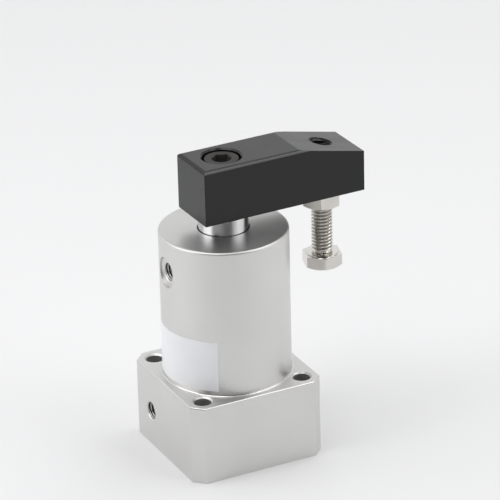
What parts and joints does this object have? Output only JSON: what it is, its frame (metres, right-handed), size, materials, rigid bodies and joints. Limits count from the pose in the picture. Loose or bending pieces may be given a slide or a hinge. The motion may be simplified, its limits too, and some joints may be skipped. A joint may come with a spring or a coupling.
{
  "type": "swing clamp cylinder",
  "caption": "Double acting pneumatic swing clamp: square flange block with a round barrel, a rod that turns its clamp arm as it rises, and an adjustable clamp bolt.",
  "frame": {"origin": "centre of the flange block's underside, on the rod's axis", "axes": "+Z is the way the rod comes out, +X is the way the arm points when it clamps, and the ports are on the -X side"},
  "size_m": [0.06, 0.04, 0.0869],
  "materials": {
    "body_aluminium": "fine bead blasted, clear anodised",
    "plain_aluminium": "turned",
    "rod_chrome": "hard chrome, ground",
    "plain_steel": "ground",
    "spring_steel": "phosphated spring steel",
    "nickel_steel": "nickel plated",
    "black_steel": "black oxide",
    "black_screw": "black oxide",
    "bearing_bronze": "sintered bronze",
    "seal_rubber": "moulded nitrile rubber",
    "guide_plastic": "filled plastic",
    "label_film": "blank white film"
  },
  "bodies": {
    "housing": {"cylinder_body": "body_aluminium", "rod_bushing": "bearing_bronze", "rod_seal": "seal_rubber", "rod_wiper": "seal_rubber", "upper_bumper": "seal_rubber", "lower_bumper": "seal_rubber", "rear_cover": "plain_aluminium", "rear_cover_o_ring": "seal_rubber", "rear_cover_pin": "plain_steel", "retaining_ring": "spring_steel", "guide_shaft": "plain_steel", "guide_shaft_o_ring": "seal_rubber", "guide_shaft_nut": "nickel_steel", "label": "label_film"},
    "piston_group": {"piston": "plain_aluminium", "piston_seal": "seal_rubber", "wear_ring": "guide_plastic", "piston_o_ring": "seal_rubber"},
    "rod_and_arm": {"piston_rod": "rod_chrome", "guide_pins": "plain_steel", "piston_nut": "plain_steel", "clamp_arm": "black_steel", "arm_screw": "black_screw", "lock_nut": "nickel_steel"},
    "adjusting_bolt": {"clamp_bolt": "nickel_steel"}
  },
  "joints": [
    {"name": "rod_stroke", "type": "slide", "parent": "housing", "child": "piston_group", "axis": [0, 0, 1], "range_m": [0, 0.022]},
    {"name": "arm_swing", "type": "hinge", "parent": "piston_group", "child": "rod_and_arm", "pos_m": [0, 0, 0.0206], "axis": [0, 0, 1], "range_deg": [0, 90]},
    {"name": "clamp_bolt_adjust", "type": "slide", "parent": "rod_and_arm", "child": "adjusting_bolt", "axis": [0, 0, 1], "range_m": [-0.004, 0.014]}
  ],
  "couplings": [
    {"joint": "arm_swing", "follows": "rod_stroke", "rad_per_m": 71.4}
  ]
}
